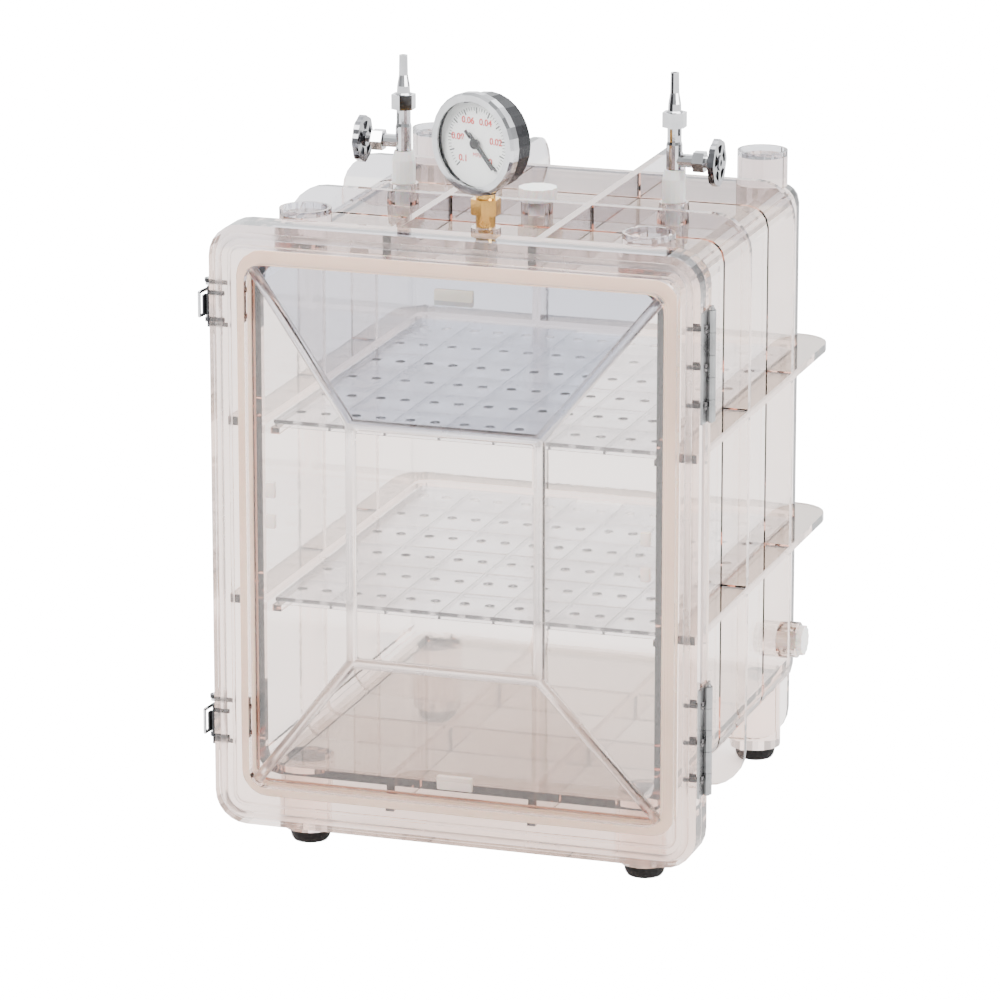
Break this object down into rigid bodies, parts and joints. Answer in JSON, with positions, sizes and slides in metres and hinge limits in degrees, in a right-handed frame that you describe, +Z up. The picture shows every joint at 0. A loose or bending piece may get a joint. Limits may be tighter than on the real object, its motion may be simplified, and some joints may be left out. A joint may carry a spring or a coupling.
{
  "type": "vacuum desiccator cabinet",
  "caption": "Clear ribbed square vacuum desiccator cabinet with a hinged front door, draw latches, perforated shelves, a vacuum gauge and screw-down valves.",
  "frame": {"origin": "middle of the footprint's bounding box, on the surface that the feet stand on", "axes": "+Z up, -Y out through the door, +X towards the hinges"},
  "size_m": [0.3356, 0.353, 0.4934],
  "materials": {
    "clear_polycarbonate": "clear, polished, faint warm tint",
    "shelf_polycarbonate": "clear, lightly hazed",
    "gasket_rubber": "matte cream silicone",
    "hinge_steel": "satin",
    "chrome": "mirror bright",
    "brass": "machined",
    "black_metal": "satin black",
    "rubber": "matte black",
    "dial_white": "printed white",
    "needle_black": "satin black",
    "gauge_lens": "clear, polished",
    "white_nylon": "translucent white"
  },
  "bodies": {
    "cabinet": {"cabinet_body": "clear_polycarbonate", "door_gasket": "gasket_rubber", "hinge_upper_body_leaf": "hinge_steel", "hinge_upper_pin": "hinge_steel", "hinge_lower_body_leaf": "hinge_steel", "hinge_lower_pin": "hinge_steel", "latch_upper_base": "black_metal", "latch_lower_base": "black_metal", "gauge_case": "black_metal", "gauge_bezel": "chrome", "gauge_dial": "dial_white", "gauge_lens": "gauge_lens", "gauge_stem": "brass", "valve_left_bushing": "white_nylon", "valve_left_body": "chrome", "valve_left_hose_nipple": "chrome", "valve_left_bonnet": "chrome", "valve_right_bushing": "white_nylon", "valve_right_body": "chrome", "valve_right_hose_nipple": "chrome", "valve_right_bonnet": "chrome", "top_port_plug": "white_nylon", "side_port_plug": "white_nylon", "foot_front_left": "rubber", "foot_front_right": "rubber", "foot_rear_left": "rubber", "foot_rear_right": "rubber"},
    "door": {"door": "clear_polycarbonate", "hinge_upper_door_leaf": "hinge_steel", "hinge_lower_door_leaf": "hinge_steel", "latch_upper_keeper": "black_metal", "latch_lower_keeper": "black_metal"},
    "latch_upper_lever": {"latch_upper_lever": "chrome"},
    "latch_upper_bail": {"latch_upper_bail": "chrome"},
    "latch_lower_lever": {"latch_lower_lever": "chrome"},
    "latch_lower_bail": {"latch_lower_bail": "chrome"},
    "shelf_upper": {"shelf_upper": "shelf_polycarbonate"},
    "shelf_lower": {"shelf_lower": "shelf_polycarbonate"},
    "gauge_needle": {"gauge_needle": "needle_black"},
    "valve_left_stem": {"valve_left_stem": "chrome"},
    "valve_left_handwheel": {"valve_left_handwheel": "chrome"},
    "valve_right_stem": {"valve_right_stem": "chrome"},
    "valve_right_handwheel": {"valve_right_handwheel": "chrome"}
  },
  "joints": [
    {"name": "door_swing", "type": "hinge", "parent": "cabinet", "child": "door", "pos_m": [0.16475, -0.1482, 0.2173], "axis": [0, 0, 1], "range_deg": [0, 120]},
    {"name": "latch_upper_lever_swing", "type": "hinge", "parent": "cabinet", "child": "latch_upper_lever", "pos_m": [-0.16375, -0.1405, 0.3583], "axis": [0, 0, 1], "range_deg": [0, 100]},
    {"name": "latch_upper_bail_swing", "type": "hinge", "parent": "latch_upper_lever", "child": "latch_upper_bail", "pos_m": [-0.16315, -0.1335, 0.3583], "axis": [0, 0, 1], "range_deg": [-101, 1]},
    {"name": "latch_lower_lever_swing", "type": "hinge", "parent": "cabinet", "child": "latch_lower_lever", "pos_m": [-0.16375, -0.1405, 0.0863], "axis": [0, 0, 1], "range_deg": [0, 100]},
    {"name": "latch_lower_bail_swing", "type": "hinge", "parent": "latch_lower_lever", "child": "latch_lower_bail", "pos_m": [-0.16315, -0.1335, 0.0863], "axis": [0, 0, 1], "range_deg": [-101, 1]},
    {"name": "shelf_upper_slide", "type": "slide", "parent": "cabinet", "child": "shelf_upper", "axis": [0, -1, 0], "range_m": [0, 0.015]},
    {"name": "shelf_lower_slide", "type": "slide", "parent": "cabinet", "child": "shelf_lower", "axis": [0, -1, 0], "range_m": [0, 0.015]},
    {"name": "gauge_needle_swing", "type": "hinge", "parent": "cabinet", "child": "gauge_needle", "pos_m": [0.00088, -0.09726, 0.4608], "axis": [-0.342, -0.9397, 0], "range_deg": [0, 270], "stiffness_Nm_per_rad": 0.0005},
    {"name": "valve_left_stem_slide", "type": "slide", "parent": "cabinet", "child": "valve_left_stem", "axis": [-1, 0, 0], "range_m": [0, 0.0021]},
    {"name": "valve_left_handwheel_spin", "type": "hinge", "parent": "valve_left_stem", "child": "valve_left_handwheel", "pos_m": [-0.11625, 0.012, 0.4333], "axis": [-1, 0, 0], "range_deg": [0, 720]},
    {"name": "valve_right_stem_slide", "type": "slide", "parent": "cabinet", "child": "valve_right_stem", "axis": [1, 0, 0], "range_m": [0, 0.0021]},
    {"name": "valve_right_handwheel_spin", "type": "hinge", "parent": "valve_right_stem", "child": "valve_right_handwheel", "pos_m": [0.12075, 0.012, 0.4333], "axis": [1, 0, 0], "range_deg": [0, 720]}
  ],
  "couplings": [
    {"joint": "latch_upper_bail_swing", "follows": "latch_upper_lever_swing", "ratio": -1},
    {"joint": "latch_lower_bail_swing", "follows": "latch_lower_lever_swing", "ratio": -1},
    {"joint": "valve_left_stem_slide", "follows": "valve_left_handwheel_spin", "m_per_rad": 0.00015915},
    {"joint": "valve_right_stem_slide", "follows": "valve_right_handwheel_spin", "m_per_rad": 0.00015915}
  ]
}
